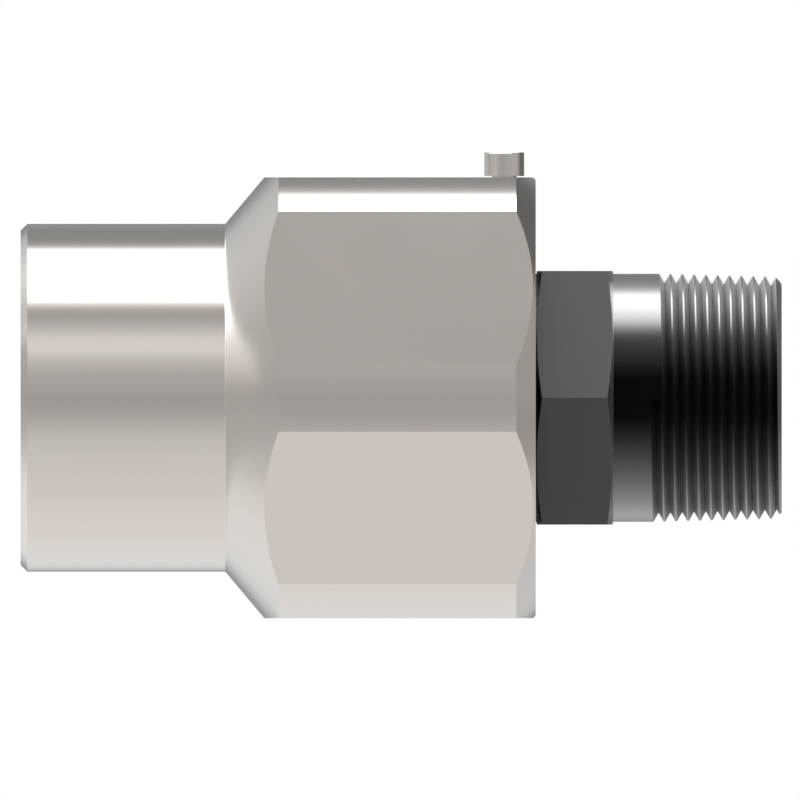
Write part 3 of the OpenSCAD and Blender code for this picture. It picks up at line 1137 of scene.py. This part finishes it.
@dataclass
class Studio:
    """Pale floor, a tent of soft light that the metal mirrors, plain light and the camera."""

    floor_z: float = -0.04315
    floor_size: float = 1.5
    floor_grey: float = 0.5
    tent_r: float = 2.0
    view_width: float = 0.1564
    view_from: tuple[float, float, float] = (0.07417, -0.5, -0.00043)
    # Light of the tent where it is seen across the swivel axis: angles from the viewer's
    # side up over the top, in degrees, and the strength there.
    band: Chart = (
        (-180, 0.33), (-168, 0.36), (-160, 0.63), (-152, 0.81), (-144, 0.90), (-136, 0.94),
        (-120, 0.95), (-96, 0.895), (-80, 0.86), (-64, 0.81), (-48, 0.775), (-40, 0.757),
        (-32, 0.737), (-24, 0.672), (-16, 0.57), (-8, 0.475), (0, 0.46), (8, 0.505),
        (16, 0.54), (24, 0.665), (32, 0.89), (36, 0.89), (40, 0.845), (48, 0.595), (56, 0.43),
        (60, 0.44), (64, 0.73), (68, 1.6), (72, 6.0), (110, 6.0), (114, 2.6), (117, 0.9),
        (120, 0.52), (124, 0.38), (128, 0.34), (136, 0.31), (144, 0.31), (152, 0.325),
        (160, 0.33), (168, 0.28), (180, 0.29),
    )
    # The same towards the ends, behind and before the object: height above the horizon, in
    # degrees, and the strength.
    port_back: Chart = (
        (-90, 0.84), (-60, 0.86), (-30, 1.0), (-24, 0.93), (-20.5, 0.84), (-17, 0.71),
        (-15.4, 0.68), (-11.5, 0.60), (-8, 0.54), (0, 0.47), (8, 0.51), (15.4, 0.535),
        (19, 0.59), (24, 0.675), (27, 0.725), (30, 0.87), (33, 1.2), (38, 3.0), (45, 6.0),
        (90, 6.0),
    )
    port_front: Chart = (
        (-90, 0.84), (-60, 0.84), (-29.5, 0.80), (-25, 0.74), (-19, 0.68), (-12.5, 0.64),
        (-5, 0.65), (1, 0.66), (5, 0.72), (9, 0.83), (12.7, 0.96), (16.2, 1.1), (19.5, 1.22),
        (22.5, 1.36), (24.5, 1.46), (28, 1.9), (31, 2.6), (38, 4.5), (45, 6.0), (90, 6.0),
    )
    thread_back: Chart = (
        (-90, 0.84), (-30, 0.72), (-23, 0.70), (-17, 0.60), (-10, 0.34), (-5, 0.20),
        (0, 0.18), (24, 0.165), (28, 0.14), (35, 0.18), (43, 3.0), (50, 6.0), (90, 6.0),
    )
    thread_front: Chart = (
        (-90, 0.84), (-27, 0.76), (-22, 0.60), (-15.4, 0.40), (-8, 0.44), (0, 0.50),
        (8, 0.51), (15.4, 0.58), (25, 0.80), (30, 1.5), (38, 4.5), (45, 6.0), (90, 6.0),
    )
    # What the strength near the horizon is multiplied by: angles from the viewer's side
    # towards the thread, in degrees. The upright screw mirrors it.
    horizon: Chart = (
        (-180, 1.0), (-150, 1.12), (-128, 1.27), (-113, 1.24), (-104, 1.05), (-98, 1.0),
        (-80, 1.0), (-76, 0.86), (-66, 0.8), (-58, 0.93), (-50, 1.06), (-40, 1.06),
        (-28, 1.08), (-16, 1.0), (5, 1.0), (12, 1.1), (42, 1.1), (70, 1.06), (84, 0.95),
        (95, 1.0), (180, 1.0),
    )

    def light(self, d: np.ndarray) -> np.ndarray:
        """Strength of the tent in each direction.

        Across the axis it follows the band. Towards either end, by the size of the
        direction's X part, it blends into that end's charts, and near the horizon it is
        multiplied by the horizon's chart.

        Args:
            d: Directions as rows of unit length.

        Returns:
            One strength for each direction.
        """
        x, y, z = d.T
        height = np.degrees(np.arcsin(np.clip(z, -1, 1)))
        middle = read_chart(self.band, np.degrees(np.arctan2(z, -y)))
        port_side, span = x < 0, np.abs(x)
        # Where the front charts hold, from 0 to 1. The port's end at a border Y, the rim.
        rim = np.clip(0.93 * (np.abs(z) - 0.231), -0.1, 0.26)
        front = np.where(port_side, soft_step(rim - y, -0.02, 0.02),
                         soft_step(-y, -0.34, 0.17))
        before, behind = (
            np.where(port_side, read_chart(port, height), read_chart(thread, height))
            for port, thread in ((self.port_front, self.thread_front),
                                 (self.port_back, self.thread_back)))
        behind = middle + (behind - middle) * soft_step(span, 0.12, 0.47)
        before = middle + (before - middle) * soft_step(span, 0.5, 0.95)
        around = np.degrees(np.arctan2(x, -y))
        near = soft_step(-np.abs(z), -0.16, -0.08)
        streak = 1 + (read_chart(self.horizon, around) - 1) * near
        return (behind + (before - behind) * front) * streak

    def tent(self) -> Object:
        """Sphere of soft light round the object.

        Point (a, b) lies at (cos b, -sin b cos a, sin b sin a) times the radius.
        """
        a, b = np.radians(np.arange(360)), np.radians(np.arange(181))
        grid_a, grid_b = np.meshgrid(a, b, indexing="ij")
        d = np.stack([np.cos(grid_b), -np.sin(grid_b) * np.cos(grid_a),
                      np.sin(grid_b) * np.sin(grid_a)], axis=2).reshape(-1, 3)
        i, j = np.meshgrid(np.arange(a.size), np.arange(b.size - 1), indexing="ij")
        ahead = (i + 1) % a.size
        quads = np.stack([i * b.size + j, i * b.size + j + 1, ahead * b.size + j + 1,
                          ahead * b.size + j], axis=2).reshape(-1, 4)
        mesh = bpy.data.meshes.new("light_tent")
        mesh.from_pydata((d * self.tent_r).tolist(), [], quads.tolist())
        glow = mesh.attributes.new("glow", "FLOAT", "POINT")
        glow.data.foreach_set("value", self.light(d).astype(np.float32))
        mesh.materials.append(self.tent_cloth())
        tent = place("light_tent", mesh)
        return tent

    def tent_cloth(self) -> Material:
        """Glow of the tent, which only glossy rays meet; others see the white world."""
        cloth, shader = new_material("tent_cloth")
        tree = cloth.node_tree
        tree.nodes.remove(shader)
        emit = feed(tree.nodes.new("ShaderNodeEmission"), Strength=attribute(tree, "glow"))
        mix_surface(cloth, glossy_ray(tree), clear_surface(tree), emit.outputs[0])
        return cloth

    def floor(self) -> Object:
        """Pale floor under the rest flat, white but for the shadow, and clear from below."""
        s, z = self.floor_size, self.floor_z
        mesh = bpy.data.meshes.new("floor")
        mesh.from_pydata([(-s, -s, z), (s, -s, z), (s, s, z), (-s, s, z)], [], [(0, 1, 2, 3)])
        floor = place("floor", mesh)
        paint, shader = new_material("floor_paint")
        tree = paint.node_tree
        feed(shader, Base_Color=(*[self.floor_grey] * 3, 1), Roughness=1.0,
             Specular_IOR_Level=0.0, Emission_Color=(1, 1, 1, 1),
             Emission_Strength=1 - self.floor_grey)
        from_below = tree.nodes.new("ShaderNodeNewGeometry").outputs["Backfacing"]
        unseen = math_node(tree, "MAXIMUM", glossy_ray(tree), from_below)
        mix_surface(paint, unseen, shader.outputs[0], clear_surface(tree))
        mesh.materials.append(paint)
        return floor

    def world(self) -> None:
        """Plain white light from everywhere, at strength 1."""
        world = bpy.data.worlds.new("white_room")
        world.use_nodes = True
        feed(world.node_tree.nodes["Background"], Color=(1, 1, 1, 1), Strength=1.0)
        bpy.context.scene.world = world

    def camera(self) -> None:
        """Square side view at the photograph's scale: 0.1955 mm for each of 800 pixels."""
        data = bpy.data.cameras.new("side_view")
        data.type = "ORTHO"
        data.ortho_scale = self.view_width
        data.clip_end = 10.0
        camera = place("side_view", data)
        camera.location = self.view_from
        camera.rotation_euler = (np.pi / 2, 0, 0)
        bpy.context.scene.camera = camera

    def build(self) -> None:
        """Sets up floor, tent, world, camera and the plain view transform."""
        self.floor()
        self.tent()
        self.world()
        self.camera()
        bpy.context.scene.view_settings.view_transform = "Standard"


# ---------------------------------------------------------------- whole fitting


KEPT_NODES: dict[str, Finish] = {
    "main_oring": SEAL_RUBBER,
    "dust_oring": SEAL_RUBBER,
    "backup_ring_port_side": BACKUP_PLASTIC,
    "backup_ring_thread_side": BACKUP_PLASTIC,
    "nose_guide_ring": GUIDE_PLASTIC,
    "barrel_guide_ring": GUIDE_PLASTIC,
}


def dress_kept_nodes(nodes: dict[str, Object]) -> None:
    """Gives the CAD nodes that stay, the seals, rings and balls, their finishes."""
    for name, node in nodes.items():
        if name in KEPT_NODES:
            dress(node, KEPT_NODES[name])
        elif name.startswith("ball_"):
            dress(node, BALL_STEEL)


def main() -> None:
    """Builds the pieces in order, dresses the kept CAD nodes and sets up the studio."""
    logging.basicConfig(level=logging.INFO, format="%(name)s: %(message)s")
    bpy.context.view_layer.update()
    Housing().build()
    LoadingScrew().build()
    Stem().build()
    dress_kept_nodes(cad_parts)
    Studio().build()


if __name__ == "__main__":
    main()
